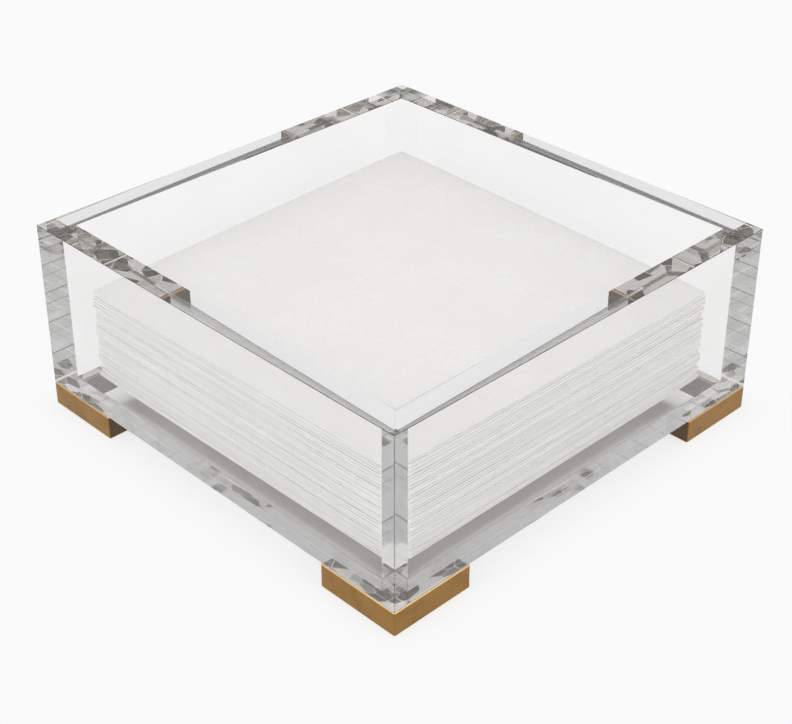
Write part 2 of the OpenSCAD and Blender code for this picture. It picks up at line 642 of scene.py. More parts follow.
@dataclass(frozen=True)
class FilmAdhesive(Finish):
    """Thin film that has wetted the metal in patches, through which the metal shines.

    Attributes:
        pale: Colour of the patches that shine most.
        deep: Colour of those that shine least.
        air: Colour of the lines of air between the patches.
        patch: Size of a patch.
        start: Place that the pattern of patches starts from.
        line: Width of a line of air.
        metal: Share of the metal in what is seen.
        tones: Span of a patch's own number over which deep passes into pale.
        gloss: Roughness from patch to patch.
    """

    pale: Colour = (0.92, 0.89, 0.85)
    deep: Colour = (0.20, 0.175, 0.145)
    air: Colour = (0.95, 0.93, 0.90)
    patch: float = 7.0 * MM
    start: Triple = (-0.0387, 0.0713, 0.0)
    line: float = 0.45 * MM
    metal: float = 0.85
    tones: Pair = (0.25, 0.62)
    gloss: Pair = (0.08, 0.25)

    def patches(self, graph: Graph, feature: str, output: str) -> Socket:
        """One output of the straight-sided cells of the pattern of patches.

        Args:
            graph: Node tree to add to.
            feature: What is measured in the cells.
            output: Name of the output to use.

        Returns:
            The output's socket.
        """
        values = {"Vector": graph.place(), "Location": self.start}
        moved = graph.add("ShaderNodeMapping", values).outputs["Vector"]
        values = {"Vector": moved, "Scale": 1.0 / self.patch}
        cells = graph.add("ShaderNodeTexVoronoi", values, voronoi_dimensions="2D", feature=feature)
        return cells.outputs[output]

    def fill(self, graph: Graph) -> None:
        """Shiny shader whose colour and gloss go from patch to patch, with pale lines between.

        A line fades over a fifth of its width, about half its width from the cell's edge.

        Args:
            graph: Node tree of the material.
        """
        number = graph.add("ShaderNodeSeparateColor", {"Color": self.patches(graph, "F1", "Color")})
        width = self.line / self.patch
        gap = self.patches(graph, "DISTANCE_TO_EDGE", "Distance")
        near = graph.span(gap, (1.0, 0.0), (0.4 * width, 0.6 * width))
        colour = graph.blend(number.outputs["Red"], self.deep, self.pale, self.tones)
        graph.principled(
            {
                "Base Color": graph.mix(near, colour, self.air),
                "Metallic": self.metal,
                "Roughness": graph.span(number.outputs["Green"], self.gloss),
            }
        )


@dataclass(frozen=True)
class PadRubber(Finish):
    """Dark matt rubber with a fine moulded grain.

    Attributes:
        dark: Colour in the grain.
        light: Colour on the grain.
        cells: Cells a metre of the grain.
        gloss: Roughness in and on the grain.
        relief: Depth of the grain.
    """

    dark: Colour = (0.030, 0.030, 0.032)
    light: Colour = (0.055, 0.054, 0.053)
    cells: float = 1500.0
    gloss: Pair = (0.7, 0.9)
    relief: float = 0.02 * MM

    def fill(self, graph: Graph) -> None:
        """Matt shader with a grain in its colour, gloss and relief.

        Args:
            graph: Node tree of the material.
        """
        grain = graph.noise(graph.place(), self.cells, detail=2.0)
        graph.principled(
            {
                "Base Color": graph.blend(grain, self.dark, self.light),
                "Roughness": graph.span(grain, self.gloss),
                "Normal": graph.bump(grain, self.relief),
            }
        )


@dataclass(frozen=True)
class NapkinPaper(Finish):
    """Soft white tissue with a felt-like embossed grain and stray fibres.

    Attributes:
        white: Colour of the paper.
        shade: Colour of its thinner, greyer places.
        clouds: Cells a metre of the clouds in the colour.
        grain: Cells a metre of the soft grain.
        felt: Cells a metre of the embossing.
        melt: How much the embossed cells run together, from 0 to 1.
        hair: Cells a metre of the fibres.
        emboss: Depth of the embossed grain.
        fibre: Depth of the fibres.
        tones: Span of clouds and grain together over which white passes into shade.
        gloss: Roughness in and on the grain.
        sheen: Level of the mirrored light.
    """

    white: Colour = (0.885, 0.878, 0.868)
    shade: Colour = (0.862, 0.854, 0.843)
    clouds: float = 45.0
    grain: float = 620.0
    felt: float = 520.0
    melt: float = 0.8
    hair: float = 1900.0
    emboss: float = 0.11 * MM
    fibre: float = 0.045 * MM
    tones: Pair = (0.8, 1.25)
    gloss: Pair = (0.82, 0.95)
    sheen: float = 0.2

    def fill(self, graph: Graph) -> None:
        """Matt shader with embossed cells, finer fibres and faint clouds in its colour.

        Args:
            graph: Node tree of the material.
        """
        place = graph.place()
        cloud = graph.noise(place, self.clouds, detail=3.0)
        grain = graph.noise(place, self.grain, detail=2.0)
        fibres = graph.noise(place, self.hair, detail=3.0)
        values = {"Vector": place, "Scale": self.felt, "Smoothness": self.melt}
        felt = graph.add("ShaderNodeTexVoronoi", values, feature="SMOOTH_F1").outputs["Distance"]
        both = graph.math("ADD", cloud, grain)
        relief = graph.bump(felt, self.emboss, graph.bump(grain, self.emboss))
        graph.principled(
            {
                "Base Color": graph.blend(both, self.white, self.shade, self.tones),
                "Roughness": graph.span(grain, self.gloss),
                "Specular IOR Level": self.sheen,
                "Normal": graph.bump(fibres, self.fibre, relief),
            }
        )


# The tray


def ride(piece: bpy.types.Object, body: Body, node: str) -> None:
    """Makes a piece ride on a body in place of a node.

    Args:
        piece: The new piece.
        body: Body that carries it.
        node: Node that the piece stands for.
    """
    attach(piece, body.value)
    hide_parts(node)
    LOG.info("%s: %d points", piece.name, len(piece.data.vertices))


def node_box(node: str) -> tuple[Array, Array]:
    """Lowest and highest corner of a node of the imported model."""
    low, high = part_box(node)
    return np.array(low, dtype=float), np.array(high, dtype=float)


@dataclass(frozen=True)
class MitredWall:
    """Upright wall in front of the tray, whose ends are mitred to meet the walls beside it.

    Attributes:
        half: Half the width of the tray.
        thick: Thickness of the wall.
        low: Height of its underside.
        high: Height of its rim.
        edge: Width of the bevels on the rim and on the tray's lower edge.
        upright: Width of the bevel on the tray's upright corners.
        joint: Width of the bevel along the base.
        bond: Depth by which each end runs into the wall that it meets.
        groove: Depth of the fine groove that the mitre leaves in the faces.
    """

    half: float
    thick: float
    low: float
    high: float
    edge: float
    upright: float
    joint: float
    bond: float
    groove: float

    def section(self, inset: float) -> Array:
        """Outline across the wall: depths from the outer face, and heights.

        It goes along the underside, up the inner face, over the rim with its two bevels and down
        the outer face to its lower bevel. When it is drawn in, a bevel loses (2 - the root of 2)
        times the inset.

        Args:
            inset: Distance by which the outline is drawn in.

        Returns:
            One row of depth and height for each point.
        """
        lost = (2 - math.sqrt(2)) * inset
        e, j = self.edge - lost, max(self.joint - lost, self.joint / 2)
        near, far = inset, self.thick - inset
        low, high = self.low + inset, self.high - inset
        middle = self.upright / 2
        inner = middle + self.groove
        return np.array(
            [
                [inner, low + e - inner + near],
                [near + e, low],
                [far - j, low],
                [far, low + j],
                [far, high - e],
                [far - e, high],
                [near + e, high],
                [inner, high - e + inner - near],
                [middle, high - e + middle - near],
                [near, high - e],
                [near, low + e],
                [middle, low + e - middle + near],
            ]
        )

    def ring(self, side: int, capped: bool) -> Array:
        """Section at one end of the wall, cut by the mitre and by the bevel of the tray's corner.

        At the depth q the mitre ends the wall at half - q from the middle, and the bevel at
        half - upright + q. The nearer one counts. The ends stop short by the groove, and inside it
        the middle part of the mitre goes on until it runs into the next wall by the bond.

        Args:
            side: -1 for the left end and 1 for the right one.
            capped: True for the middle part of the end, which the groove surrounds.

        Returns:
            Points of the ring.
        """
        q, z = self.section(self.groove if capped else 0.0).T
        on_mitre = q > self.upright / 2 + self.groove / 2
        reach = np.minimum(self.half - q, self.half - self.upright + q) - self.groove
        if capped:
            reach = reach + np.where(on_mitre, self.groove + self.bond, 0.0)
        return np.stack([side * reach, q - self.half, z], axis=1)

    def surface(self) -> Surface:
        """Carries the section from end to end and closes each end with the mitre and the bevel.

        The first eight points of the section lie on the mitre and the last four on the bevel of
        the tray's corner. A narrow strip joins the two.

        Returns:
            The closed surface of the front wall.
        """
        ends = ((-1, True), (-1, False), (1, False), (1, True))
        rings = [self.ring(side, capped) for side, capped in ends]
        around = len(rings[0])
        last = (len(rings) - 1) * around
        caps = (np.arange(8), np.array([11, 0, 7, 8]), np.arange(8, 12))
        faces = [grid_quads(len(rings), around, closed=True)]
        faces += [cap[None, ::-1] for cap in caps]
        faces += [last + cap[None, :] for cap in caps]
        return Surface(np.concatenate(rings), faces)


@dataclass
class AcrylicTray:
    """The base between the four walls, all cemented edge to edge.

    Attributes:
        edge: Width of the polished bevels on the free edges.
        upright: Width of the finer bevels on the upright corners.
        joint: Width of the bevels that each cemented joint leaves.
        bond: Depth by which a panel runs into the one it is cemented to, so that no air is left.
        groove: Depth of the groove along a mitred joint.
    """

    edge: float = 0.16 * MM
    upright: float = 0.12 * MM
    joint: float = 0.2 * MM
    bond: float = 0.03 * MM
    groove: float = 0.03 * MM

    def base(self) -> Surface:
        """Works out the base, which runs into the walls round it by the bond.

        Returns:
            The closed surface.
        """
        low, high = node_box("base_panel")
        wider = np.array([self.bond, self.bond, 0.0])
        return Slab(low - wider, high + wider, self.joint).surface()

    def wall(self, quarters: int) -> Surface:
        """Works out one wall: the front one, turned about the middle of the tray.

        Args:
            quarters: Quarter turns from the front wall, counterclockwise.

        Returns:
            The closed surface.
        """
        low, high = node_box("wall_front")
        front = MitredWall(
            half=float(high[0]),
            thick=float(high[1] - low[1]),
            low=float(low[2]),
            high=float(high[2]),
            edge=self.edge,
            upright=self.upright,
            joint=self.joint,
            bond=self.bond,
            groove=self.groove,
        )
        return front.surface().turned(quarters)

    def build(self, acrylic: Material) -> None:
        """Makes the five panels and puts them on the tray's body.

        Args:
            acrylic: Finish of the panels.
        """
        panels = {"base_panel": self.base()}
        for quarters, word in enumerate(("front", "right", "back", "left")):
            panels[f"wall_{word}"] = self.wall(quarters)
        for node, surface in panels.items():
            ride(surface.piece(f"clear_{node}", acrylic), Body.TRAY, node)


@dataclass
class CornerFoot:
    """An L-shaped foot under one corner, with its adhesive film and its rubber pad.

    Attributes:
        corner: Corner that the foot stands under.
        half: Half the width of the tray.
        leg: Length of each leg.
        width: Width of each leg.
        bevel: Radius of the rounded edges.
        rounding: Radius of the foot's corners, seen from above.
        recess_inset: Distance from the outline to the recess for the pad.
        recess: Depth of that recess.
        film_inset: Distance from the outline to the film.
        pad_inset: Distance from the outline to the pad.
        pad_edge: Radius of the pad's rounded edges.
        bond: Depth by which the film runs into the panel and the foot.
        rubbed: How much painted highlight a rounded edge of the foot gets, from the level face to
        the upright one.
    """

    corner: Corner
    half: float = 99.5 * MM
    leg: float = 37 * MM
    width: float = 12.5 * MM
    bevel: float = 0.5 * MM
    rounding: float = 0.65 * MM
    recess_inset: float = 1.8 * MM
    recess: float = 0.5 * MM
    film_inset: float = 1.0 * MM
    pad_inset: float = 1.9 * MM
    pad_edge: float = 0.25 * MM
    bond: float = 0.03 * MM
    rubbed: tuple[float, ...] = (0.2, 1.0, 1.0, 1.0, 0.0)

    @property
    def outline(self) -> Ell:
        """Outline of the foot."""
        return Ell(self.leg, self.width)

    def placed(self, drawn: Surface) -> Surface:
        """Moves what is drawn from the tray's corner inwards to this foot's own corner.

        Args:
            drawn: Surface in the quarter where X and Y grow from the corner.

        Returns:
            The surface in its place.
        """
        inwards = np.array([self.half, self.half, 0.0])
        moved = Surface(drawn.points - inwards, drawn.faces, drawn.shades)
        sx, sy = self.corner.value
        return moved.mirrored((-sx, -sy))

    def rounded(self, radius: float) -> tuple[Array, Array]:
        """Quarter circle round an edge, as insets from the upright face and drops from the level.

        At the angle t, which grows from the level face to the upright one, the inset is
        radius (1 - sin t) and the drop is radius (1 - cos t).

        Args:
            radius: Radius of the edge.

        Returns:
            The insets and the drops, one for each number in rubbed.
        """
        turn = np.linspace(0.0, math.pi / 2, len(self.rubbed))
        return radius * (1 - np.sin(turn)), radius * (1 - np.cos(turn))

    def foot(self) -> Surface:
        """Foot from the roof of its recess, round the rounded edges, to its top face.

        The side of the foot is a profile carried round the outline: a quarter circle at the
        bottom, the upright face, and a quarter circle at the top.

        Returns:
            The closed surface in its place.
        """
        low, high = node_box(f"foot_{self.corner.word}")
        inset, drop = self.rounded(self.bevel)
        insets = [self.recess_inset, self.recess_inset, *inset, *inset[::-1]]
        heights = [low[2] + self.recess, low[2], *(low[2] + drop), *(high[2] - drop[::-1])]
        round_corner = self.rounding - inset
        radii = [self.bevel, self.bevel, *round_corner, *round_corner[::-1]]
        # Painted highlight on the rounded edges; where a ring has 0, the leg ends and inner sides
        # get painted shade.
        shades = [0.0, 0.0, *self.rubbed, *self.rubbed[::-1]]
        return self.placed(self.outline.solid(insets, radii, heights, shades))

    def film(self) -> Surface:
        """Film between the foot and the tray, a plain L that runs a trace into both.

        Returns:
            The closed surface in its place.
        """
        low, high = node_box(f"adhesive_film_{self.corner.word}")
        heights = [low[2] - self.bond, high[2] + self.bond]
        return self.placed(self.outline.solid([self.film_inset] * 2, [self.bevel] * 2, heights))

    def pad(self) -> Surface:
        """Pad with rounded edges all round its lower face.

        Returns:
            The closed surface in its place.
        """
        low, high = node_box(f"foot_pad_{self.corner.word}")
        inset, drop = self.rounded(self.pad_edge)
        insets = [*(self.pad_inset + inset), self.pad_inset]
        radii = [*(2 * self.pad_edge - inset), 2 * self.pad_edge]
        heights = [*(low[2] + drop), high[2]]
        return self.placed(self.outline.solid(insets, radii, heights))

    def build(self, brass: Material, adhesive: Material, rubber: Material) -> None:
        """Makes the foot, its film and its pad and puts them on the tray's body.

        Args:
            brass: Finish of the foot.
            adhesive: Finish of the film.
            rubber: Finish of the pad.
        """
        word = self.corner.word
        foot = self.foot().piece(f"brass_foot_{word}", brass)
        ride(foot, Body.TRAY, f"foot_{word}")
        film = self.film().piece(f"film_{word}", adhesive)
        ride(film, Body.TRAY, f"adhesive_film_{word}")
        pad = self.pad().piece(f"pad_{word}", rubber)
        ride(pad, Body.TRAY, f"foot_pad_{word}")


# The napkins


@dataclass(frozen=True)
class PlaneWaves:
    """Sum of plane waves of mixed direction, whose phases roll from level to level.

    Attributes:
        seed: Start of the random picks.
        height: Largest height of the sum.
        lengths: Shortest and longest wave.
        roll: How far a phase rolls at most from one level to the next, in radians.
        count: Number of waves.
        growth: Power of its length with which the height of a wave grows.
    """

    seed: Seed
    height: float
    lengths: Pair
    roll: float
    count: int = 7
    growth: float = 0.7

    def at(self, x: Array, y: Array, level: Array) -> Array:
        """Adds up the waves: the sine of each one's run along its own way, by its weight.

        Args:
            x: Places along X.
            y: Places along Y.
            level: Level in the pile of each place, counted in napkins from the bottom.

        Returns:
            The height at each place.
        """
        picks = np.random.default_rng(self.seed)
        long = np.geomspace(*self.lengths, self.count)
        way, phase = picks.uniform(0, 2 * math.pi, (2, self.count))
        rolls = picks.uniform(-self.roll, self.roll, self.count)
        weight = long**self.growth
        run = 2 * math.pi * (x[:, None] * np.cos(way) + y[:, None] * np.sin(way)) / long
        wave = np.sin(run + phase + rolls * level[:, None])
        return self.height * ((weight * wave).sum(axis=1) / weight.sum())


@dataclass(frozen=True)
class PileShape:
    """How the layers of the whole pile lie: a little wavy, and pressed down at some corners.

    Attributes:
        count: Number of napkins.
        room: Height that one napkin has in the pile.
        half: Half the side of a napkin.
        shift: How far the pile lies from the middle of the tray towards the back and the left.
        sags: How far the top lies lower at the corners (-X, -Y), (+X, -Y), (-X, +Y), (+X, +Y).
        swell: Waves that run through the whole pile.
        ruffle: Waves of a single napkin.
        fade: How fast the waves grow away from the bottom and the top of the pile.
    """

    count: int = 20
    room: float = 2.2 * MM
    half: float = 82.5 * MM
    shift: float = 1.2 * MM
    sags: tuple[float, float, float, float] = (5.1 * MM, 2.9 * MM, 0.0 * MM, 3.4 * MM)
    swell: PlaneWaves = PlaneWaves(Seed.SWELL, 0.22 * MM, (16 * MM, 90 * MM), 0.9)
    ruffle: PlaneWaves = PlaneWaves(Seed.RUFFLE, 0.03 * MM, (9 * MM, 50 * MM), 3.1)
    fade: float = 6.0

    def height(self, x: Array, y: Array, level: Array) -> Array:
        """Height of places in the pile.

        A level of the pile lies at level times the room, less its share of the sag, which goes
        from corner to corner in both directions. The waves are nil at the bottom and the top of
        the pile, and those of one napkin are nil at its two faces as well.

        Args:
            x: Places along X from the middle of the pile.
            y: Places along Y.
            level: Level of each place, counted in napkins from the bottom.

        Returns:
            The height of each place in the frame of the tray.
        """
        low, _ = node_box("napkin_01")
        u = np.clip(0.5 + x / self.half / 2, 0, 1)
        v = np.clip(0.5 + y / self.half / 2, 0, 1)
        a, b, c, d = self.sags
        sag = (1 - v) * ((1 - u) * a + u * b) + v * ((1 - u) * c + u * d)
        through = np.clip(level / self.count, 0, 1)
        napkin = np.floor(level)
        swell = self.swell.at(x, y, level)
        ruffle = self.ruffle.at(x, y, napkin)
        within = np.sin(math.pi * (level - napkin)) ** 2
        fade = np.clip(self.fade * through * (1 - through), 0, 1)
        return low[2] + level * self.room - sag * through + fade * (swell + within * ruffle)


@dataclass(frozen=True)
class FoldedNapkin:
    """One square napkin folded twice, so that four layers lie on each other.

    The first fold is drawn along the narrow side at -Y and joins layers one and two, and three
    and four. The second, broad fold is drawn along -X and joins all four. The other sides are
    open. In the pile the broad fold lies at the back and the narrow one on the left.

    Attributes:
        number: Place in the pile, counted from 1 at the bottom.
        pile: Shape of the whole pile, which the napkin follows.
        side: Side of the folded napkin.
        ply: Thickness of one layer.
        pair: Half the distance between the middles of two layers of one leaf.
        leaf: Half the distance between the middles of the two leaves.
        drift: How far the napkin lies off its place in the pile.
        turn: How far it lies turned, in degrees.
        drift_step: Angle between the drifts of one napkin and the next, in degrees.
        turn_step: Angle between the turns of one napkin and the next, in degrees.
        fray: How far the open edges wave in behind the full side at most. The folded ones wave
            half as far.
        step: How far the whole edge of a layer lies in behind the full side at most.
        own: Share of that step which is the layer's own. The two layers of a leaf have the rest
            in common.
        ripples: Number of waves along an edge.
        ratio: Length of each of them over that of the one before.
        open_wave: Length of the shortest wave of an open edge.
        fold_wave: Length of the shortest wave of a folded edge.
        fold_reach: How far the waves of a folded edge reach into the napkin.
        ease: Power with which the waves of an open edge grow from the fold to the edge.
        soft: How far the corners are drawn in at most, as a share of the half side.
        tip: Power that keeps what is drawn in close to the corner.
        round_steps: Number of places round a bend.
        flat_steps: Number of places on either side of it.
        crease: Angle in degrees past which an edge of the paper stays sharp.
    """

    number: int
    pile: PileShape
    side: float = 165 * MM
    ply: float = 0.39 * MM
    pair: float = 0.215 * MM
    leaf: float = 0.55 * MM
    drift: float = 0.2 * MM
    turn: float = 0.25
    drift_step: float = 137.5
    turn_step: float = 101.0
    fray: float = 0.18 * MM
    step: float = 0.16 * MM
    own: float = 0.2
    ripples: int = 6
    ratio: float = 1.7
    open_wave: float = 9 * MM
    fold_wave: float = 14 * MM
    fold_reach: float = 9 * MM
    ease: int = 3
    soft: float = 0.012
    tip: int = 10
    round_steps: int = 9
    flat_steps: int = 39
    crease: float = 50.0

    @property
    def name(self) -> str:
        """Name of the napkin's node."""
        return f"napkin_{self.number:02d}"

    @property
    def flat(self) -> Pair:
        """Width and length of the sheet before it was folded.

        Half the width is the straight part of a leaf and half the bend of the broad fold, and
        half the length that of a layer and half the bend of the narrow one.

        Returns:
            The two sizes.
        """
        across = math.pi * self.leaf / 2 + self.side - self.ply / 2 - self.leaf - self.pair
        along = math.pi * self.pair / 2 + self.side - self.ply / 2 - self.pair
        return 2 * across, 2 * along

    def stations(self, reach: float, bend: float) -> Array:
        """Places across a fold: close together round the bend and near the edges, wide between.

        Beside the bend the spacing is half even and half eased by a cosine.

        Args:
            reach: Distance from the fold to the edge of the sheet.
            bend: Half the length of the bend.

        Returns:
            Signed distances from the fold.
        """
        share = np.linspace(0.0, 1.0, self.flat_steps + 1)[1:]
        eased = 0.5 * share + 0.5 * (1 - np.cos(math.pi * share)) / 2
        half = bend + (reach - bend) * eased
        round_bend = np.linspace(-bend, bend, self.round_steps)
        return np.concatenate([-half[::-1], round_bend, half])

    def waves(self, place: Array, seed: int, height: float, shortest: float) -> Array:
        """Sum of sine waves along an edge, whose heights go with the roots of their lengths.

        Args:
            place: Distance along the edge, in metres.
            seed: Number that picks the phases and the heights.
            height: Largest height of the sum.
            shortest: Length of the shortest wave.

        Returns:
            The sum at each place, from 0 to height.
        """
        picks = np.random.default_rng(1000 * self.number + seed)
        lengths = shortest * self.ratio ** np.arange(self.ripples)
        phases = picks.uniform(0, 2 * math.pi, self.ripples)
        weights = lengths**0.5 * picks.uniform(0.5, 1.0, self.ripples)
        total = (weights * np.sin(2 * math.pi * place[..., None] / lengths + phases)).sum(axis=-1)
        return height * (0.5 + 0.5 * total / weights.sum())

    def layer(self, across: Array, along: Array, offset: float) -> Array:
        """Folds one face of the sheet twice.

        A point lies at the signed distances s and t from the two folds. Round the first fold, of
        radius a, it goes to y = -a cos(t / a) and w = a sin(t / a), and past the bend it goes on
        straight. Round the second, of radius r = leaf + w, it goes to x = -r cos(s / leaf) and
        z = r sin(s / leaf), and goes on straight too. Each layer's open edges are drawn in by waves
        of their own, and the corners of each leaf by a distance of its own.

        Args:
            across: Signed distances from the broad fold, one row for each station.
            along: Signed distances from the narrow fold, one column for each station.
            offset: Distance of this face from the middle of the paper.

        Returns:
            Points by station across and station along.
        """
        half = self.side / 2
        s, t = np.meshgrid(across, along, indexing="ij")
        reach_s, reach_t = across[-1], along[-1]
        leaf_sign, pair_sign = (s > 0).astype(int), (t > 0).astype(int)
        pull = np.zeros_like(s)
        push = np.zeros_like(t)
        picks = np.random.default_rng(Seed.PLACE + self.number)
        common = picks.uniform(0, (1 - self.own) * self.step, (2, 2, 1))
        lie = common + picks.uniform(0, self.own * self.step, (2, 2, 2))
        for a, b in ((0, 0), (0, 1), (1, 0), (1, 1)):
            here = (leaf_sign == a) & (pair_sign == b)
            order = 2 * a + b
            wave_s = self.waves(t, Seed.FRAY_ACROSS + order, self.fray, self.open_wave)
            wave_t = self.waves(s, Seed.FRAY_ALONG + order, self.fray, self.open_wave)
            pull = np.where(here, lie[0, a, b] + wave_s, pull)
            push = np.where(here, lie[1, a, b] + wave_t, push)
        ease_s = np.clip(np.abs(s) / reach_s, 0, 1) ** self.ease
        ease_t = np.clip(np.abs(t) / reach_t, 0, 1) ** self.ease
        s = s - np.sign(s) * pull * ease_s
        t = t - np.sign(t) * push * ease_t

        radius = self.pair + offset
        bend = math.pi * self.pair / 2
        angle = np.clip(t / self.pair, -math.pi / 2, math.pi / 2)
        y = -radius * np.cos(angle) + np.maximum(np.abs(t) - bend, 0)
        w = radius * np.sin(angle)
        r = self.leaf + w
        bend = math.pi * self.leaf / 2
        angle = np.clip(s / self.leaf, -math.pi / 2, math.pi / 2)
        x = -r * np.cos(angle) + np.maximum(np.abs(s) - bend, 0)
        z = r * np.sin(angle)

        x = x - half + self.ply / 2 + self.leaf + self.pair
        y = y - half + self.ply / 2 + self.pair
        near_x = np.exp(-((x + half) / self.fold_reach) ** 2)
        near_y = np.exp(-((y + half) / self.fold_reach) ** 2)
        x = x + self.waves(y, Seed.BROAD_FOLD, 0.5 * self.fray, self.fold_wave) * near_x
        y = y + self.waves(x, Seed.NARROW_FOLD, 0.5 * self.fray, self.fold_wave) * near_y
        picks = np.random.default_rng(Seed.CORNER + self.number)
        lower, upper = self.soft * picks.uniform(0, 1, 2)
        drawn = lower + (upper - lower) * (0.5 + 0.5 * np.sin(angle))
        kept = 1 - drawn * np.clip(np.abs(x * y) / half**2, 0, 1) ** self.tip
        return np.stack([x * kept, y * kept, z], axis=-1)

    def surface(self) -> Surface:
        """Folded sheet with its thickness: two faces and the strip that joins their edges.

        Returns:
            The closed surface in its place in the pile.
        """
        flat = self.flat
        across = self.stations(flat[0] / 2, math.pi * self.leaf / 2)
        along = self.stations(flat[1] / 2, math.pi * self.pair / 2)
        outer = self.layer(across, along, self.ply / 2).reshape(-1, 3)
        inner = self.layer(across, along, -self.ply / 2).reshape(-1, 3)
        rows, columns = len(across), len(along)
        quads = grid_quads(rows, columns, closed=False)
        numbers = np.arange(rows * columns).reshape(rows, columns)
        sides = [numbers[:-1, 0], numbers[-1, :-1], numbers[:0:-1, -1], numbers[0, :0:-1]]
        loop = np.concatenate(sides)
        ahead = np.roll(loop, -1)
        count = rows * columns
        strip = np.stack([loop, loop + count, ahead + count, ahead], axis=1)
        faces = [quads[:, ::-1], quads + count, strip[:, ::-1]]
        return Surface(self.placed(np.concatenate([outer, inner])), faces)

    def placed(self, points: Array) -> Array:
        """Turns the napkin, lays it in its place and lets it follow the shape of the pile.

        A quarter turn brings the broad fold to the back and the narrow one to the left. The
        middle of the napkin lies half a level below its number.

        Args:
            points: Points about the middle of the napkin.

        Returns:
            The points in the frame of the tray.
        """
        i = self.number
        angle = math.radians(self.turn * math.sin(math.radians(i * self.turn_step)) - 90)
        c, s = math.cos(angle), math.sin(angle)
        way = math.radians(i * self.drift_step)
        x = c * points[:, 0] - s * points[:, 1] + self.drift * math.sin(way)
        y = s * points[:, 0] + c * points[:, 1] + self.drift * math.cos(way)
        z = self.pile.height(x, y, i - 0.5 + points[:, 2] / self.pile.room)
        return np.stack([x - self.pile.shift, y + self.pile.shift, z], axis=1)

    def build(self, body: Body, paper: Material, below: str) -> bpy.types.Object:
        """Makes the napkin and puts it on its body.

        Args:
            body: Body that carries it.
            paper: Finish of the paper.
            below: Name of the piece that it lies on. Not used.

        Returns:
            The napkin.
        """
        piece = self.surface().piece(f"folded_{self.name}", paper, self.crease)
        ride(piece, body, self.name)
        return piece


@dataclass
class NapkinPile:
    """The pile of folded napkins.

    Attributes:
        shape: Shape of the whole pile.
    """

    shape: PileShape = field(default_factory=PileShape)

    def build(self, paper: Material) -> None:
        """Lays the napkins on each other. The last one has a body of its own.

        Args:
            paper: Finish of the paper.
        """
        below = "clear_base_panel"
        for number in range(1, self.shape.count + 1):
            body = Body.TOP if number == self.shape.count else Body.PILE
            below = FoldedNapkin(number, self.shape).build(body, paper, below).name


# The studio


@dataclass(frozen=True)
class SoftLamp:
    """Square soft lamp that looks at the tray and doesn't show through the acrylic.

    Attributes:
        name: Name of the lamp.
        place: Where it hangs.
        size: Side of its face.
        power: Power in watts.
    """

    name: str
    place: Triple
    size: float = 1.2
    power: float = 9.5

    def build(self) -> None:
        """Hangs the lamp and turns it to the tray."""
        data = bpy.data.lights.new(self.name, "AREA")
        data.shape = "SQUARE"
        data.size = self.size
        data.energy = self.power
        made = bpy.data.objects.new(self.name, data)
        made.location = self.place
        made.rotation_euler = (-Vector(self.place)).to_track_quat("-Z", "Y").to_euler()
        made.visible_transmission = False
        bpy.context.scene.collection.objects.link(made)


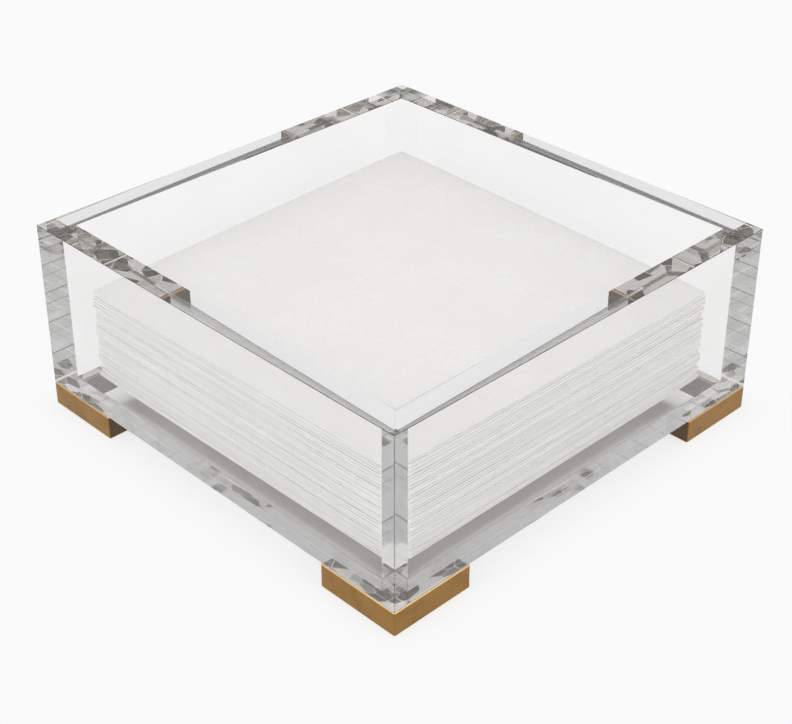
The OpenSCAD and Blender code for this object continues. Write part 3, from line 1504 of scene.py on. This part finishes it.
@dataclass
class Studio:
    """White floor, pale surroundings and soft lamps.

    Attributes:
        white: Level at which the floor and the background show.
        open: Distances from the middle of the tray, and the floor's share of glowing plain white
        there. Under the tray's edge this glow is painted light where the tray would shade the
        floor.
        under: Colour of the floor deep under the tray, a painted shadow, warmed as if lit by the
        brass feet.
        matt: Colour of the floor's own, where it takes true shading.
        out: Distances between which the painted shadow passes into the floor's own colour.
        reach: Distance from the middle to the floor's edges.
        tiles: Number of tiles along a side of the floor.
        toward: Level way from the tray to the photographer.
        facing: Cosines of the angle to that way at which the next three levels lie.
        behind: Level of the room's walls beyond the tray.
        beside: Level of the room's walls at the sides.
        dark: Level of the room behind the photographer.
        overhead: Level of the ceiling.
        skirt: Heights of a ray between which the white near the floor passes into the walls.
        ceiling: Heights of a ray between which the walls pass into the ceiling.
        lamps: The lamps.
    """

    white: float = 0.955
    # Under the tray's edge the floor's glow is painted light.
    open: tuple[Pair, ...] = (
        (0.0745, 0.0),
        (0.079, 0.45),
        (0.086, 0.72),
        (0.0995, 0.80),
        (0.104, 0.90),
        (0.112, 0.97),
        (0.125, 1.0),
    )
    # Painted shadow under the tray, with a warm tint.
    under: Colour = (0.61, 0.565, 0.535)
    matt: Colour = (0.93, 0.93, 0.93)
    out: Pair = (0.0745, 0.0805)
    reach: float = 4.0
    tiles: int = 8
    toward: Triple = (0.7155, -0.6986, 0.0)
    facing: Triple = (-0.5, 0.0, 0.7)
    behind: float = 0.66
    beside: float = 0.66
    dark: float = 0.90
    overhead: float = 0.66
    skirt: Pair = (0.30, 0.44)
    ceiling: Pair = (0.60, 0.75)
    lamps: tuple[SoftLamp, ...] = (
        SoftLamp("softbox_left", (-0.25, -1.5, 0.7)),
        SoftLamp("softbox_right", (1.5, 0.25, 0.7)),
    )

    def floor_finish(self) -> Material:
        """Builds the floor's material: white by itself, with a share of true shading.

        The distance that drives it is the larger one of those along X and along Y, so that it
        follows the tray's square outline. Under the tray its colour is a painted shadow, and under
        the tray's edge its glow is painted light.

        Returns:
            The material.
        """
        material = bpy.data.materials.new("studio_floor")
        graph = Graph(material)
        sides = graph.add("ShaderNodeVectorMath", {0: graph.place()}, operation="ABSOLUTE")
        parts = graph.add("ShaderNodeSeparateXYZ", {"Vector": sides.outputs["Vector"]})
        out = graph.math("MAXIMUM", parts.outputs["X"], parts.outputs["Y"])
        # Painted light: the floor glows in part under the tray's edge.
        plain = graph.steps(out, self.open)
        # Painted shadow: the floor's colour goes dark under the tray.
        shade = graph.blend(graph.span(out, WHOLE, self.out), self.under, self.matt, WHOLE)
        matt = graph.add("ShaderNodeBsdfDiffuse", {"Color": shade}).outputs["BSDF"]
        glow = graph.add("ShaderNodeEmission", {"Color": (self.white,) * 3, "Strength": 1.0})
        shares = {0: plain, 1: matt, 2: glow.outputs["Emission"]}
        both = graph.add("ShaderNodeMixShader", shares).outputs["Shader"]
        graph.add("ShaderNodeOutputMaterial", {"Surface": both})
        return material

    def floor(self) -> None:
        """Lays the floor, a level square of tiles round the tray."""
        rows = self.tiles + 1
        places = np.linspace(-self.reach, self.reach, rows)
        u, v = np.meshgrid(places, places)
        points = np.stack([u.ravel(), v.ravel(), np.zeros(u.size)], axis=1)
        level = Surface(points, [grid_quads(rows, rows, closed=False)])
        level.piece("studio_floor", self.floor_finish())

    def world(self) -> None:
        """Surrounds the tray with a room: white where it is seen straight on, graded elsewhere."""
        world = bpy.data.worlds.new("studio_room")
        bpy.context.scene.world = world
        graph = Graph(world)
        white = (self.white,) * 3
        way = graph.add("ShaderNodeTexCoord").outputs["Generated"]
        height = graph.add("ShaderNodeSeparateXYZ", {"Vector": way}).outputs["Z"]
        values = {0: way, 1: self.toward}
        facing = graph.add("ShaderNodeVectorMath", values, operation="DOT_PRODUCT").outputs["Value"]
        levels = (self.behind, self.beside, self.dark)
        walls = graph.steps(facing, tuple(zip(self.facing, levels)))
        dome = graph.mix(graph.span(height, WHOLE, self.ceiling), walls, (self.overhead,) * 3)
        room = graph.mix(graph.span(height, (1.0, 0.0), self.skirt), dome, white)
        rays = graph.add("ShaderNodeLightPath")
        shown = graph.mix(rays.outputs["Is Camera Ray"], room, white)
        light = graph.add("ShaderNodeBackground", {"Color": shown, "Strength": 1.0})
        graph.add("ShaderNodeOutputWorld", {"Surface": light.outputs["Background"]})

    def build(self) -> None:
        """Sets up the floor, the surroundings and the lamps."""
        self.floor()
        self.world()
        for lamp in self.lamps:
            lamp.build()


@dataclass
class PhotoCamera:
    """Camera at the photograph's place and angle.

    Attributes:
        place: Where the camera stands.
        azimuth: Angle round the tray, in degrees.
        elevation: Angle above the horizon, in degrees.
        focal: Focal length in pixels of an image 792 pixels wide.
        fall: How far the middle of the image lies below the axis of the lens, in pixels.
        width: Width of that image.
        sensor: Width of the sensor, in the millimetres that a lens is measured in.
        clip: Nearest and farthest distance that it sees.
    """

    place: Triple = (0.4066, -0.3988, 0.3829)
    azimuth: float = 45.67
    elevation: float = 29.70
    focal: float = 1664.0
    fall: float = 79.0
    width: int = 792
    sensor: float = 36.0
    clip: Pair = (0.01, 50.0)

    def build(self) -> None:
        """Puts the camera into the scene and makes it the scene's own."""
        a, e = math.radians(self.azimuth), math.radians(self.elevation)
        back = Vector((math.sin(a) * math.cos(e), -math.cos(a) * math.cos(e), math.sin(e)))
        data = bpy.data.cameras.new("photo_camera")
        data.sensor_width = self.sensor
        data.lens = self.focal * self.sensor / self.width
        data.shift_y = -self.fall / self.width
        data.clip_start, data.clip_end = self.clip
        made = bpy.data.objects.new("photo_camera", data)
        made.location = self.place
        made.rotation_euler = back.to_track_quat("Z", "Y").to_euler()
        bpy.context.scene.collection.objects.link(made)
        bpy.context.scene.camera = made


def all_feet() -> list[CornerFoot]:
    """One foot for each corner of the tray."""
    return [CornerFoot(corner) for corner in Corner]


@dataclass
class NapkinHolder:
    """The whole object: tray, feet and pile.

    Attributes:
        tray: The acrylic tray.
        feet: The four feet.
        pile: The pile of napkins.
    """

    tray: AcrylicTray = field(default_factory=AcrylicTray)
    feet: list[CornerFoot] = field(default_factory=all_feet)
    pile: NapkinPile = field(default_factory=NapkinPile)

    def build(self) -> None:
        """Makes the finishes and then each sub-assembly."""
        acrylic = ClearAcrylic("clear_acrylic_sheet").material()
        brass = SatinBrass("satin_brass_brushed").material()
        film = FilmAdhesive("adhesive_film_patchy").material()
        rubber = PadRubber("pad_rubber_moulded").material()
        paper = NapkinPaper("napkin_paper_embossed").material()
        self.tray.build(acrylic)
        for foot in self.feet:
            foot.build(brass, film, rubber)
        self.pile.build(paper)


def main() -> None:
    """Builds the camera, the object and the studio."""
    logging.basicConfig(level=logging.INFO, format="%(name)s: %(message)s")
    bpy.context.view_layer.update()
    PhotoCamera().build()
    NapkinHolder().build()
    Studio().build()
    scene = bpy.context.scene
    scene.view_settings.view_transform = "Standard"
    scene.cycles.max_bounces = CLEAR_BOUNCES
    scene.cycles.transmission_bounces = CLEAR_BOUNCES
    scene.cycles.glossy_bounces = GLOSS_BOUNCES


if __name__ == "__main__":
    main()
